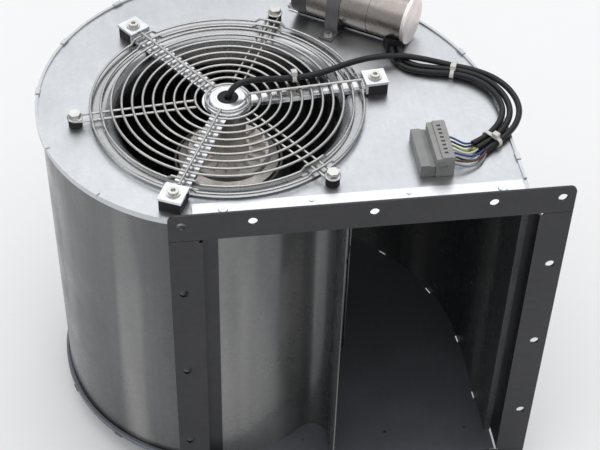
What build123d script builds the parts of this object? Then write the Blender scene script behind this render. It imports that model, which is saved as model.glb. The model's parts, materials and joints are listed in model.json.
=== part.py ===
from build123d import *
import math
import os

# Double-inlet centrifugal blower with a scroll housing, an outlet frame and a built-in motor.
# Frame: origin at the middle of the outlet frame's front face, X along the frame, Y into the
# housing, Z up along the wheel axis.  Millimetres.

os.makedirs("parts", exist_ok=True)

# ---------------------------------------------------------------- driving dimensions
# outlet frame
FRAME_W = 338.0            # outside width
FRAME_H = 380.0            # outside height
FRAME_BAR = 28.0           # width of each bar's face
FRAME_T = 2.0              # sheet thickness of the bars
INNER_X = FRAME_W / 2 - FRAME_BAR
FRAME_HOLE_R = 4.0         # bolt holes all round
FRAME_CORNER_R = 6.0       # rounded ends of the top and bottom bars
CORNER_SPACING_X = 316.0   # corner holes, across
CORNER_SPACING_Z = 357.0   # corner holes, up
HOLE_PITCH = 100.0         # intermediate holes
TOP_LEG = 41.0             # how far the top and bottom bars reach over the side plates
SIDE_LEG = 26.0            # how far the right bar reaches back
LEFT_LEG = 22.7            # how far the left bar reaches back to the wrapper
LEFT_FOOT = 14.0           # its foot, which lies along the wrapper

RIVET_PLACES = ((-121.5, 31.5), (-47.0, 35.0), (35.6, 35.0), (116.0, 31.5))
RIVET_SHANK_R = 1.6
RIVET_HEAD_R = (4.2, 2.2, 2.2, 4.2)

# housing
HOUSING_W = 324.0          # over the side plates
SHEET_T = 1.0              # plates, wrapper and inlet rings
LIP = 4.0                  # how far the plates stand out past the wrapper
RIM_H = 3.0                # height of the rolled rim
PLATE_FRONT = 2.3          # front edge of the plates, just behind the frame
PLATE_LEFT = -152.0        # left end of the plates' straight front edge

# scroll: arcs of the wrapper's outer face, back right, back left, left and tongue
RIGHT_WALL_X = 136.0
SCROLL_1 = (-90.5, 134.5)
SCROLL_R1 = RIGHT_WALL_X - SCROLL_1[0]
SCROLL_R2 = 180.5
SCROLL_2 = (SCROLL_1[0], SCROLL_1[1] + SCROLL_R1 - SCROLL_R2)
SCROLL_R3 = 161.5
SCROLL_3 = (SCROLL_2[0] - SCROLL_R2 + SCROLL_R3, SCROLL_2[1])
TONGUE_START = 242.0       # degrees, where the left arc hands over to the tongue arc
SCROLL_R4 = 127.0
SCROLL_4 = (
    SCROLL_3[0] + (SCROLL_R3 - SCROLL_R4) * math.cos(math.radians(TONGUE_START)),
    SCROLL_3[1] + (SCROLL_R3 - SCROLL_R4) * math.sin(math.radians(TONGUE_START)),
)
NOSE_R = 15.0              # rounded tongue
RETURN_WALL_X = -22.0      # wall from the tongue back to the frame
NOSE_X = RETURN_WALL_X - NOSE_R
NOSE_REACH = SCROLL_R4 + NOSE_R
NOSE_Y = SCROLL_4[1] - math.sqrt(NOSE_REACH**2 - (NOSE_X - SCROLL_4[0]) ** 2)
NOSE_ANGLE = math.degrees(math.atan2(SCROLL_4[1] - NOSE_Y, SCROLL_4[0] - NOSE_X))

# wheel and inlet
WHEEL_X = -104.0
WHEEL_Y = 167.0
INLET_EDGE_R = 123.0       # outer edge of the inlet ring
INLET_STEP_R = 113.0       # where the bell mouth starts
THROAT_R = 99.0
THROAT_DEPTH = 28.0        # from the plate in to the ring's inner end
WHEEL_R = 118.0
BLADE_INNER_R = 102.0
WHEEL_HALF = 138.0         # half the wheel's length
END_RING_H = 7.0
BLADES = 38
BLADE_T = 1.0
DISC_T = 2.0

# motor
SHAFT_R = 4.0
SHAFT_GAP = 0.03           # running clearance in the bearings
BEARING_R = 11.0
BEARING_H = 7.0
ROTOR_R = 50.0
ROTOR_TOP = 101.0
ROTOR_T = 2.0
CAGE_INNER_R = 43.5
STATOR_R = 43.0
STATOR_BOTTOM = 34.0
STATOR_TOP = 82.0
TUBE_R = 14.0
FLANGE_R = 39.0
FLANGE_TOP = 113.0
NECK_R = 16.0

# motor bracket
HUB_R = 17.3
HUB_BASE_R = 23.0
HUB_BOTTOM = 166.0
HUB_TOP = 172.6
GROMMET_R = 9.5
ARM_W = 15.0
ARM_TOP = 168.6
ARM_DEPTH = 4.0
ARM_T = 1.6
ARM_ANGLES = (5.0, 125.0, 245.0)
FOOT_R = 135.5             # screw circle of the feet
FOOT_W = 21.0
FOOT_INNER = 125.0
FOOT_OUTER = 146.0
FOOT_TOP = 175.5
FOOT_T = 2.5

# finger guards
WIRE_R = 1.2
RINGS = 12
RING_FIRST_R = 19.8
RING_PITCH = 9.3
LOW_RINGS = 2              # the outer rings run lower between the spokes
RING_DROP = 3.5
GUARD_TOP_Z = 171.5        # ring plane of the upper guard
GUARD_BOTTOM_Z = 185.4     # ring plane of the lower guard, below the middle
PAIR_ANGLES = (65.0, 185.0, 305.0)
PAIR_HALF = 4.6            # half the distance between the two wires of a spoke
GUARD_SCREW_R = 136.0
CRANK_HALF = 11.0          # half length of the raised stretch over a spoke or an arm
RAMP = 2.5                 # length of its slopes
WELD_PITCH = 2.1           # height between crossing wires, sunk together by the weld

# capacitor
CAP_R = 22.5
CAP_L = 117.0
CAP_ANGLE = -34.0
CAP_END = (77.6, 243.8)    # middle of the right end
CAP_LIFT = 1.5             # can's underside above the plate

# connector
PLUG_X = (62.5, 78.5)
PLUG_Y = (54.0, 103.0)
PLUG_H = 21.0
HEADER_X = (49.3, 57.8)
HEADER_H = 12.2
WAYS = 8
WAY_PITCH = 5.08
CABLE_R = 2.8
CORE_R = 0.95

PLATE_OUT = HOUSING_W / 2
PLATE_IN = PLATE_OUT - SHEET_T
LIE = 0.3                  # clearance of what lies loose on the plate


# ---------------------------------------------------------------- helpers
def finish(piece, name):
    """Label one finished piece and write its STEP file."""
    piece.part.label = name
    export_step(piece.part, f"parts/{name}.step")


def polar(radius, degrees, centre=(WHEEL_X, WHEEL_Y)):
    """Point at a radius and an angle about a centre, the wheel axis unless stated."""
    angle = math.radians(degrees)
    return (centre[0] + radius * math.cos(angle), centre[1] + radius * math.sin(angle))


def spoke_plane(degrees, radius=0.0, z=0.0):
    """Plane on the wheel axis's spoke: local X outward, local Z up."""
    x, y = polar(radius, degrees)
    angle = math.radians(degrees)
    return Plane(origin=(x, y, z), x_dir=(math.cos(angle), math.sin(angle), 0), z_dir=(0, 0, 1))


def axis_plane():
    """Upright half plane through the wheel axis, for revolved profiles: X radius, Y height."""
    return Plane(origin=(WHEEL_X, WHEEL_Y, 0), x_dir=(1, 0, 0), z_dir=(0, -1, 0))


WHEEL_AXIS = Axis((WHEEL_X, WHEEL_Y, 0), (0, 0, 1))


def turned(profile):
    """Solid of revolution about the wheel axis from (radius, height) corners."""
    with BuildPart() as body:
        with BuildSketch(axis_plane()):
            with BuildLine():
                Polyline(*profile, close=True)
            make_face()
        revolve(axis=WHEEL_AXIS)
    return body


def scroll_arcs(grow):
    """The four housing arcs from the right wall to the tongue, moved outward by grow."""
    CenterArc(SCROLL_1, SCROLL_R1 + grow, 0, 90)
    CenterArc(SCROLL_2, SCROLL_R2 + grow, 90, 90)
    CenterArc(SCROLL_3, SCROLL_R3 + grow, 180, TONGUE_START - 180)


def plate_outline(grow):
    """Closed outline of a side plate, moved in or out from the wrapper's outer face."""
    right = RIGHT_WALL_X + grow
    left = PLATE_LEFT
    radius = SCROLL_R4 + grow
    corner_y = SCROLL_4[1] - math.sqrt(radius**2 - (left - SCROLL_4[0]) ** 2)
    corner = math.degrees(math.atan2(corner_y - SCROLL_4[1], left - SCROLL_4[0])) % 360
    Line((right, PLATE_FRONT), (right, SCROLL_1[1]))
    scroll_arcs(grow)
    CenterArc(SCROLL_4, radius, TONGUE_START, corner - TONGUE_START)
    Line((left, corner_y), (left, PLATE_FRONT))
    Line((left, PLATE_FRONT), (right, PLATE_FRONT))


def wrapper_face(grow):
    """One face of the wrapper as an open line, from the outlet's right wall to the return wall."""
    right = RIGHT_WALL_X + grow
    Line((right, SIDE_LEG), (right, SCROLL_1[1]))
    scroll_arcs(grow)
    CenterArc(SCROLL_4, SCROLL_R4 + grow, TONGUE_START, NOSE_ANGLE + 180 - TONGUE_START)
    CenterArc((NOSE_X, NOSE_Y), NOSE_R - grow, NOSE_ANGLE, -NOSE_ANGLE)
    Line((NOSE_X + NOSE_R - grow, NOSE_Y), (NOSE_X + NOSE_R - grow, PLATE_FRONT))


# ---------------------------------------------------------------- scroll wrapper
with BuildPart() as scroll_wrapper:
    with BuildSketch(Plane.XY.offset(-PLATE_IN)):
        with BuildLine():
            wrapper_face(0)
            wrapper_face(-SHEET_T)
            Line((RIGHT_WALL_X, SIDE_LEG), (RIGHT_WALL_X - SHEET_T, SIDE_LEG))
            Line((RETURN_WALL_X, PLATE_FRONT), (RETURN_WALL_X + SHEET_T, PLATE_FRONT))
        make_face()
    extrude(amount=2 * PLATE_IN)
    # front flange, which reaches out to the right bar of the frame
    with BuildSketch(Plane.XY.offset(-PLATE_IN)):
        with Locations(((RIGHT_WALL_X - SHEET_T + INNER_X) / 2, SIDE_LEG + SHEET_T / 2)):
            Rectangle(INNER_X - RIGHT_WALL_X + SHEET_T, SHEET_T)
    extrude(amount=2 * PLATE_IN)
finish(scroll_wrapper, "scroll_wrapper")


# ---------------------------------------------------------------- side plates
with BuildLine() as lip_line:
    Line((RIGHT_WALL_X + LIP, SCROLL_1[1] - 90), (RIGHT_WALL_X + LIP, SCROLL_1[1]))
    scroll_arcs(LIP)
TAB_COUNT = 12
TAB_L = 9.0


def tab_frames():
    """Planes on the lip, evenly spaced: local X along the lip, local Y inward."""
    wire = lip_line.wires()[0]
    frames = []
    for index in range(TAB_COUNT):
        place = (index + 0.35) / TAB_COUNT
        along = wire.tangent_at(place)
        frames.append(Plane(origin=wire.position_at(place), x_dir=along, z_dir=(0, 0, 1)))
    return frames


def side_plate(side):
    """Side plate with its inlet hole, rolled rim and crimp tabs; side is 1 above, -1 below."""
    with BuildPart() as plate:
        with BuildSketch(Plane.XY.offset(side * PLATE_IN)):
            with BuildLine():
                plate_outline(LIP)
            make_face()
            with Locations((WHEEL_X, WHEEL_Y)):
                Circle(INLET_STEP_R - 2, mode=Mode.SUBTRACT)
            with Locations(*RIVET_PLACES):
                Circle(RIVET_SHANK_R, mode=Mode.SUBTRACT)
        extrude(amount=side * SHEET_T)
        # rolled rim along the scroll, open towards the frame
        with BuildSketch(Plane.XY.offset(side * (PLATE_OUT - 2 * RIM_H + 1.6))):
            with BuildLine():
                plate_outline(LIP)
            make_face()
            with BuildLine():
                plate_outline(LIP - 2.6)
            make_face(mode=Mode.SUBTRACT)
            with Locations((0, PLATE_FRONT)):
                Rectangle(2 * -PLATE_LEFT, 2 * TOP_LEG, mode=Mode.SUBTRACT)
            with Locations((WHEEL_X, PLATE_FRONT)):
                Rectangle(2 * -PLATE_LEFT, 4, mode=Mode.SUBTRACT)
        extrude(amount=side * (2 * RIM_H))
        for frame in tab_frames():
            tab = frame.offset(side * (PLATE_OUT + 0.6))
            with BuildSketch(tab):
                with Locations((0, 1.2)):
                    Rectangle(TAB_L, 4.0)
            extrude(amount=side * 1.9)
        # slots through which the wrapper's tabs pass, open in the lower plate only
        for frame in tab_frames() if side < 0 else []:
            with BuildSketch(frame.offset(side * (PLATE_IN - 1))):
                with Locations((0, LIP + SHEET_T + 1.3)):
                    Rectangle(TAB_L, 1.4)
            extrude(amount=side * 3, mode=Mode.SUBTRACT)
    return plate


top_side_plate = side_plate(1)
finish(top_side_plate, "top_side_plate")
bottom_side_plate = side_plate(-1)
finish(bottom_side_plate, "bottom_side_plate")


# ---------------------------------------------------------------- outlet frame
BAR_MIDDLE = FRAME_H / 2 - FRAME_BAR / 2
NOTCH = 3.0


def end_bar(side):
    """Top (1) or bottom (-1) bar: a drilled face and a leg that lies on the side plate."""
    with BuildPart() as bar:
        with BuildSketch(Plane.XZ.offset(0)):
            with Locations((0, side * BAR_MIDDLE)):
                Rectangle(FRAME_W, FRAME_BAR)
            corners = [corner for corner in vertices() if side * corner.Y > BAR_MIDDLE]
            fillet(corners, FRAME_CORNER_R)
            hole_z = side * CORNER_SPACING_Z / 2
            with Locations(*[(x, hole_z) for x in (-HOLE_PITCH, 0, HOLE_PITCH)]):
                Circle(FRAME_HOLE_R, mode=Mode.SUBTRACT)
            with Locations(*[(x * CORNER_SPACING_X / 2, hole_z) for x in (-1, 1)]):
                Circle(FRAME_HOLE_R, mode=Mode.SUBTRACT)
        extrude(amount=-FRAME_T)
        with BuildSketch(Plane.XY.offset(side * PLATE_OUT)):
            with Locations((-6, TOP_LEG / 2 + 0.2)):
                Rectangle(282, TOP_LEG - 0.4)
            with Locations(*RIVET_PLACES):
                Circle(RIVET_SHANK_R, mode=Mode.SUBTRACT)
        extrude(amount=side * FRAME_T)
    return bar


def side_bar(side, legs):
    """Right (1) or left (-1) bar: a drilled face and its legs, given as (x, y, width, depth)."""
    with BuildPart() as bar:
        with BuildSketch(Plane.XZ):
            with Locations((side * (FRAME_W - FRAME_BAR) / 2, 0)):
                Rectangle(FRAME_BAR, 2 * PLATE_OUT - 0.8)
            with Locations(*[(side * INNER_X, end * PLATE_OUT) for end in (-1, 1)]):
                Rectangle(2 * NOTCH, 2 * NOTCH, mode=Mode.SUBTRACT)
            with Locations(*[(side * CORNER_SPACING_X / 2, z) for z in (-HOLE_PITCH, 0, HOLE_PITCH)]):
                Circle(FRAME_HOLE_R, mode=Mode.SUBTRACT)
        extrude(amount=-FRAME_T)
        with BuildSketch(Plane.XY.offset(-PLATE_IN + NOTCH)):
            for x, y, width, depth in legs:
                with Locations((x + width / 2, y + depth / 2)):
                    Rectangle(width, depth)
        extrude(amount=2 * (PLATE_IN - NOTCH))
    return bar


outlet_frame_top = end_bar(1)
finish(outlet_frame_top, "outlet_frame_top")
outlet_frame_bottom = end_bar(-1)
finish(outlet_frame_bottom, "outlet_frame_bottom")
outlet_frame_right = side_bar(1, [(INNER_X, 0, FRAME_T, SIDE_LEG + SHEET_T)])
finish(outlet_frame_right, "outlet_frame_right")
outlet_frame_left = side_bar(
    -1,
    [
        (-INNER_X - FRAME_T, 0, FRAME_T, LEFT_LEG),
        (-INNER_X - FRAME_T, LEFT_LEG - FRAME_T, FRAME_T + LEFT_FOOT, FRAME_T),
    ],
)
finish(outlet_frame_left, "outlet_frame_left")

with BuildPart() as frame_rivets:
    for side in (-1, 1):
        for place, head_r in zip(RIVET_PLACES, RIVET_HEAD_R):
            with BuildSketch(Plane.XY.offset(side * PLATE_IN)):
                with Locations(place):
                    Circle(RIVET_SHANK_R - 0.02)
            extrude(amount=side * (SHEET_T + FRAME_T))
            with BuildSketch(Plane.XY.offset(side * (PLATE_OUT + FRAME_T))):
                with Locations(place):
                    Circle(head_r)
            extrude(amount=side * head_r * 0.3, taper=18)
finish(frame_rivets, "frame_rivets")


# ---------------------------------------------------------------- inlet rings
BELL_W = 15.0              # bell mouth, from its start in to the throat
BELL_H = 16.6
BELL_STEPS = 9


def bell_points(thickness):
    """Quarter ellipse from the bell mouth's start down to the throat."""
    points = []
    for step in range(BELL_STEPS):
        turn = math.radians(90 * step / (BELL_STEPS - 1))
        radius = THROAT_R + BELL_W + thickness - (BELL_W) * math.sin(turn)
        height = PLATE_OUT - 14 + (BELL_H - thickness) * math.cos(turn)
        points.append((radius, height))
    return points


def inlet_ring(side):
    """Spun bell-mouth ring: a stepped edge on the plate, a bell mouth and a short throat."""
    inner_end = PLATE_OUT - THROAT_DEPTH
    face = [(INLET_EDGE_R, PLATE_OUT), (INLET_EDGE_R - 0.8, PLATE_OUT + 2.2)]
    face += bell_points(0) + [(THROAT_R, inner_end), (THROAT_R + SHEET_T, inner_end)]
    back = bell_points(SHEET_T)[::-1]
    back += [(INLET_EDGE_R - 1.8, PLATE_OUT + 1.2), (INLET_EDGE_R - 1.4, PLATE_OUT)]
    return turned([(radius, side * height) for radius, height in face + back])


top_inlet_ring = inlet_ring(1)
finish(top_inlet_ring, "top_inlet_ring")
bottom_inlet_ring = inlet_ring(-1)
finish(bottom_inlet_ring, "bottom_inlet_ring")


# ---------------------------------------------------------------- wheel
BLADE_CENTRE = (104.0, -12.0)
BLADE_CURVE_R = 13.2
BLADE_ARC = (10.0, 85.0)   # start angle and length of the blade's arc
BLADE_END = WHEEL_HALF - END_RING_H
SCREW_CIRCLE = 40.0

with BuildSketch(mode=Mode.PRIVATE) as blade_section:
    with BuildLine():
        inner = CenterArc(BLADE_CENTRE, BLADE_CURVE_R - BLADE_T / 2, *BLADE_ARC)
        outer = CenterArc(BLADE_CENTRE, BLADE_CURVE_R + BLADE_T / 2, *BLADE_ARC)
        Line(inner @ 0, outer @ 0)
        Line(inner @ 1, outer @ 1)
    make_face()


def blade_ring(side):
    """Ring of forward-curved blades between the centre disc and one end ring."""
    with BuildPart() as ring:
        with BuildSketch(Plane(origin=(WHEEL_X, WHEEL_Y, side * DISC_T / 2))):
            with PolarLocations(0, BLADES):
                add(blade_section.sketch)
        extrude(amount=side * (BLADE_END - DISC_T / 2))
    return ring


upper_blades = blade_ring(1)
finish(upper_blades, "upper_blades")
lower_blades = blade_ring(-1)
finish(lower_blades, "lower_blades")


def end_ring(side):
    """Channel ring that holds the blades' ends."""
    corners = [
        (BLADE_INNER_R, BLADE_END),
        (WHEEL_R, BLADE_END),
        (WHEEL_R, WHEEL_HALF - 1),
        (WHEEL_R - 1.5, WHEEL_HALF),
        (BLADE_INNER_R + 1.5, WHEEL_HALF),
        (BLADE_INNER_R, WHEEL_HALF - 1),
    ]
    return turned([(radius, side * height) for radius, height in corners])


upper_end_ring = end_ring(1)
finish(upper_end_ring, "upper_end_ring")
lower_end_ring = end_ring(-1)
finish(lower_end_ring, "lower_end_ring")

with BuildPart() as wheel_disc:
    with BuildSketch(Plane(origin=(WHEEL_X, WHEEL_Y, -DISC_T / 2))):
        Circle(WHEEL_R)
        Circle(10, mode=Mode.SUBTRACT)
        with PolarLocations(SCREW_CIRCLE, 4, start_angle=45):
            Circle(2.55, mode=Mode.SUBTRACT)
    extrude(amount=DISC_T)
finish(wheel_disc, "wheel_disc")

with BuildPart() as disc_screws:
    with BuildSketch(Plane(origin=(WHEEL_X, WHEEL_Y, -DISC_T / 2))):
        with PolarLocations(SCREW_CIRCLE, 4, start_angle=45):
            Circle(2.5)
    extrude(amount=DISC_T + ROTOR_T)
    with BuildSketch(Plane(origin=(WHEEL_X, WHEEL_Y, -DISC_T / 2))):
        with PolarLocations(SCREW_CIRCLE, 4, start_angle=45):
            RegularPolygon(4.4, 6)
    extrude(amount=-3.5)
finish(disc_screws, "disc_screws")


# ---------------------------------------------------------------- motor
ROTOR_BOTTOM = DISC_T / 2
HUB_BOSS_R = 10.0
HUB_BOSS_TOP = 16.0

with BuildPart() as rotor_can:
    with BuildSketch(axis_plane()):
        with BuildLine():
            Polyline(
                (SHAFT_R, ROTOR_BOTTOM),
                (ROTOR_R, ROTOR_BOTTOM),
                (ROTOR_R, ROTOR_TOP),
                (ROTOR_R - ROTOR_T, ROTOR_TOP),
                (ROTOR_R - ROTOR_T, ROTOR_BOTTOM + ROTOR_T),
                (HUB_BOSS_R, ROTOR_BOTTOM + ROTOR_T),
                (HUB_BOSS_R, HUB_BOSS_TOP),
                (SHAFT_R, HUB_BOSS_TOP),
                close=True,
            )
        make_face()
    revolve(axis=WHEEL_AXIS)
    with BuildSketch(Plane(origin=(WHEEL_X, WHEEL_Y, ROTOR_BOTTOM))):
        with PolarLocations(SCREW_CIRCLE, 4, start_angle=45):
            Circle(2.55)
    extrude(amount=ROTOR_T, mode=Mode.SUBTRACT)
finish(rotor_can, "rotor_can")

rotor_cage = turned(
    [
        (CAGE_INNER_R, STATOR_BOTTOM),
        (ROTOR_R - ROTOR_T, STATOR_BOTTOM),
        (ROTOR_R - ROTOR_T, STATOR_TOP),
        (CAGE_INNER_R, STATOR_TOP),
    ]
)
finish(rotor_cage, "rotor_cage")

with BuildPart() as motor_shaft:
    with BuildSketch(Plane(origin=(WHEEL_X, WHEEL_Y, ROTOR_BOTTOM - 3))):
        Circle(SHAFT_R)
    extrude(amount=101)
    chamfer(motor_shaft.edges(), 0.6)
finish(motor_shaft, "motor_shaft")

with BuildPart() as stator_core:
    with BuildSketch(Plane(origin=(WHEEL_X, WHEEL_Y, STATOR_BOTTOM))):
        Circle(STATOR_R)
        Circle(TUBE_R, mode=Mode.SUBTRACT)
        with PolarLocations(34, 24):
            SlotOverall(13, 4, mode=Mode.SUBTRACT)
        with PolarLocations(41.5, 24):
            Rectangle(4, 1.6, mode=Mode.SUBTRACT)
    extrude(amount=STATOR_TOP - STATOR_BOTTOM)
finish(stator_core, "stator_core")

with BuildPart() as stator_windings:
    for start, end in ((STATOR_BOTTOM - 12, STATOR_BOTTOM), (STATOR_TOP, STATOR_TOP + 12)):
        with BuildSketch(axis_plane()):
            with Locations((31, (start + end) / 2)):
                RectangleRounded(20, end - start, 4)
        revolve(axis=WHEEL_AXIS)
finish(stator_windings, "stator_windings")

FLANGE_SEAT = 98.0
with BuildPart() as stator_flange:
    with BuildSketch(axis_plane()):
        with BuildLine():
            Polyline(
                (BEARING_R, STATOR_BOTTOM - 12),
                (TUBE_R, STATOR_BOTTOM - 12),
                (TUBE_R, FLANGE_SEAT),
                (46, FLANGE_SEAT),
                (46, FLANGE_SEAT + 4),
                (FLANGE_R, FLANGE_SEAT + 8),
                (FLANGE_R, FLANGE_TOP - 2),
                (FLANGE_R - 2, FLANGE_TOP),
                (NECK_R + 3, FLANGE_TOP),
                (NECK_R, FLANGE_TOP + 4),
                (NECK_R, HUB_BOTTOM),
                (6, HUB_BOTTOM),
                (6, FLANGE_SEAT + 5),
                (BEARING_R, FLANGE_SEAT + 5),
                close=True,
            )
        make_face()
    revolve(axis=WHEEL_AXIS)
    with BuildSketch(Plane(origin=(WHEEL_X, WHEEL_Y, FLANGE_TOP - 1))):
        with PolarLocations(28.0, 18):
            Rectangle(13, 1.8)
    extrude(amount=4)
finish(stator_flange, "stator_flange")


def bearing(bottom):
    """Ball bearing, as one ring on the shaft."""
    bore = SHAFT_R + SHAFT_GAP
    top = bottom + BEARING_H
    return turned([(bore, bottom), (BEARING_R, bottom), (BEARING_R, top), (bore, top)])


lower_bearing = bearing(STATOR_BOTTOM - 10)
finish(lower_bearing, "lower_bearing")
upper_bearing = bearing(STATOR_TOP + 4)
finish(upper_bearing, "upper_bearing")


# ---------------------------------------------------------------- motor bracket
with BuildPart() as motor_bracket:
    with BuildSketch(Plane(origin=(WHEEL_X, WHEEL_Y, HUB_BOTTOM))):
        Circle(HUB_BASE_R)
    extrude(amount=ARM_TOP - HUB_BOTTOM)
    with BuildSketch(Plane(origin=(WHEEL_X, WHEEL_Y, HUB_BOTTOM))):
        Circle(HUB_R)
    extrude(amount=HUB_TOP - HUB_BOTTOM)
    fillet(motor_bracket.edges().sort_by(Axis.Z)[-1], 2.2)
    with BuildSketch(Plane(origin=(WHEEL_X, WHEEL_Y, HUB_BOTTOM))):
        Circle(GROMMET_R)
    extrude(amount=10, mode=Mode.SUBTRACT)
    for angle in ARM_ANGLES:
        spoke = spoke_plane(angle)
        arm_start = HUB_BASE_R - 2
        arm_length = FOOT_INNER + 2 - arm_start
        with BuildSketch(spoke.offset(ARM_TOP - ARM_T)):
            with Locations((arm_start + arm_length / 2, 0)):
                Rectangle(arm_length, ARM_W)
        extrude(amount=ARM_T)
        with BuildSketch(spoke.offset(ARM_TOP - ARM_DEPTH)):
            with Locations(*[(arm_start + arm_length / 2, y * (ARM_W - ARM_T) / 2) for y in (-1, 1)]):
                Rectangle(arm_length, ARM_T)
        extrude(amount=ARM_DEPTH)
        # riser and foot plate
        with BuildSketch(spoke.offset(ARM_TOP - ARM_DEPTH)):
            with Locations((FOOT_INNER + 1, 0)):
                Rectangle(2, FOOT_W)
        extrude(amount=FOOT_TOP - ARM_TOP + ARM_DEPTH)
        with BuildSketch(spoke.offset(FOOT_TOP - FOOT_T)):
            with Locations(((FOOT_INNER + FOOT_OUTER) / 2, 0)):
                Rectangle(FOOT_OUTER - FOOT_INNER, FOOT_W)
            with Locations((FOOT_R, 0)):
                Circle(3.1, mode=Mode.SUBTRACT)
        extrude(amount=FOOT_T)
finish(motor_bracket, "motor_bracket")

with BuildPart() as bracket_dampers:
    for angle in ARM_ANGLES:
        block_start = FOOT_INNER + 2.2
        with BuildSketch(spoke_plane(angle, z=PLATE_OUT)):
            with Locations(((block_start + FOOT_OUTER - 0.6) / 2, 0)):
                Rectangle(FOOT_OUTER - 0.6 - block_start, FOOT_W - 1.6)
            with Locations((FOOT_R, 0)):
                Circle(3.1, mode=Mode.SUBTRACT)
        extrude(amount=FOOT_TOP - FOOT_T - PLATE_OUT)
finish(bracket_dampers, "bracket_dampers")

with BuildPart() as bracket_screws:
    for angle in ARM_ANGLES:
        with BuildSketch(spoke_plane(angle, FOOT_R, PLATE_OUT)):
            Circle(3)
        extrude(amount=FOOT_TOP - PLATE_OUT)
        with BuildSketch(spoke_plane(angle, FOOT_R, FOOT_TOP)):
            Circle(6.4)
            Circle(3, mode=Mode.SUBTRACT)
        extrude(amount=1.2)
        with BuildSketch(spoke_plane(angle, FOOT_R, FOOT_TOP)):
            Circle(4.6)
        extrude(amount=3.2)
        with BuildSketch(spoke_plane(angle, FOOT_R, FOOT_TOP + 3.2)):
            RegularPolygon(2.4, 6)
        extrude(amount=-2, mode=Mode.SUBTRACT)
finish(bracket_screws, "bracket_screws")

with BuildPart() as cable_grommet:
    with BuildSketch(Plane(origin=(WHEEL_X, WHEEL_Y, HUB_BOTTOM))):
        Circle(GROMMET_R)
        Circle(CABLE_R + 0.4, mode=Mode.SUBTRACT)
    extrude(amount=HUB_TOP - HUB_BOTTOM - 0.8)
finish(cable_grommet, "cable_grommet")


# ---------------------------------------------------------------- finger guards
def rod(start, end, radius=WIRE_R):
    """Straight round wire, added to the part being built."""
    start = Vector(*start)
    end = Vector(*end)
    along = end - start
    with BuildSketch(Plane(origin=start, z_dir=along), mode=Mode.PRIVATE) as section:
        Circle(radius)
    extrude(section.sketch, amount=along.length)


def ring_wire(radius, z, start=0.0, sweep_angle=360.0):
    """Round wire bent to an arc about the wheel axis."""
    angle = math.radians(start)
    place = Plane(origin=(*polar(radius, start), z), z_dir=(-math.sin(angle), math.cos(angle), 0))
    with BuildSketch(place, mode=Mode.PRIVATE) as section:
        Circle(WIRE_R)
    revolve(section.sketch, axis=WHEEL_AXIS, revolution_arc=sweep_angle)


def cranked_ring(radius, high_z, low_z):
    """Ring that is raised over every spoke and arm and runs lower between them."""
    crank = math.degrees(CRANK_HALF / radius)
    ramp = math.degrees(RAMP / radius)
    for angle in PAIR_ANGLES + ARM_ANGLES:
        ring_wire(radius, high_z, angle - crank, 2 * crank)
        ring_wire(radius, low_z, angle + crank + ramp, 60 - 2 * crank - 2 * ramp)
        for turn in (-1, 1):
            high = polar(radius, angle + turn * (crank - 0.4 * ramp))
            low = polar(radius, angle + turn * (crank + 1.4 * ramp))
            rod((*high, high_z), (*low, low_z), WIRE_R - 0.06)


def hairpin(angle, z):
    """Paired spoke: one wire that runs out, round its screw and back."""
    spoke = spoke_plane(angle, z=z)
    start = RING_FIRST_R + RING_PITCH - 1
    with BuildLine(spoke, mode=Mode.PRIVATE) as path:
        Line((start, -PAIR_HALF), (GUARD_SCREW_R, -PAIR_HALF))
        CenterArc((GUARD_SCREW_R, 0), PAIR_HALF, -90, 180)
        Line((GUARD_SCREW_R, PAIR_HALF), (start, PAIR_HALF))
    first = spoke.from_local_coords(Vector(start, -PAIR_HALF, 0))
    with BuildSketch(Plane(origin=first, z_dir=spoke.x_dir), mode=Mode.PRIVATE) as section:
        Circle(WIRE_R)
    sweep(section.sketch, path=path.line)


def guard(side, ring_z):
    """Finger guard: welded rings, paired spokes bent round their screws and single spokes."""
    last_r = RING_FIRST_R + (RINGS - 1) * RING_PITCH
    with BuildPart() as cage:
        for angle in PAIR_ANGLES:
            hairpin(angle, side * (ring_z - WELD_PITCH))
        for angle in ARM_ANGLES:
            spoke = spoke_plane(angle, z=side * (ring_z + WELD_PITCH))
            rod(
                spoke.from_local_coords(Vector(RING_FIRST_R - 0.8, 0, 0)),
                spoke.from_local_coords(Vector(last_r + 0.8, 0, 0)),
            )
        for index in range(RINGS):
            radius = RING_FIRST_R + index * RING_PITCH
            if index < RINGS - LOW_RINGS:
                ring_wire(radius, side * ring_z)
            else:
                cranked_ring(radius, side * ring_z, side * (ring_z - RING_DROP))
    return cage


def guard_spacers(side, ring_z):
    """Spacers that carry the guard's eyes above the plate."""
    with BuildPart() as spacers:
        for angle in PAIR_ANGLES:
            with BuildSketch(spoke_plane(angle, GUARD_SCREW_R, side * PLATE_OUT)):
                Circle(6.2)
                Circle(2.6, mode=Mode.SUBTRACT)
            extrude(amount=side * (ring_z - WELD_PITCH - WIRE_R - PLATE_OUT))
    return spacers


def guard_screws(side, ring_z):
    """Hexagon screws with washers on the guard's eyes."""
    seat = ring_z - WELD_PITCH + WIRE_R
    with BuildPart() as screws:
        for angle in PAIR_ANGLES:
            with BuildSketch(spoke_plane(angle, GUARD_SCREW_R, side * PLATE_OUT)):
                Circle(2.5)
            extrude(amount=side * (seat - PLATE_OUT))
            with BuildSketch(spoke_plane(angle, GUARD_SCREW_R, side * seat)):
                Circle(6.5)
            extrude(amount=side)
            with BuildSketch(spoke_plane(angle, GUARD_SCREW_R, side * (seat + 1))):
                RegularPolygon(5.6, 6)
            extrude(amount=side * 4.5)
    return screws


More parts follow.
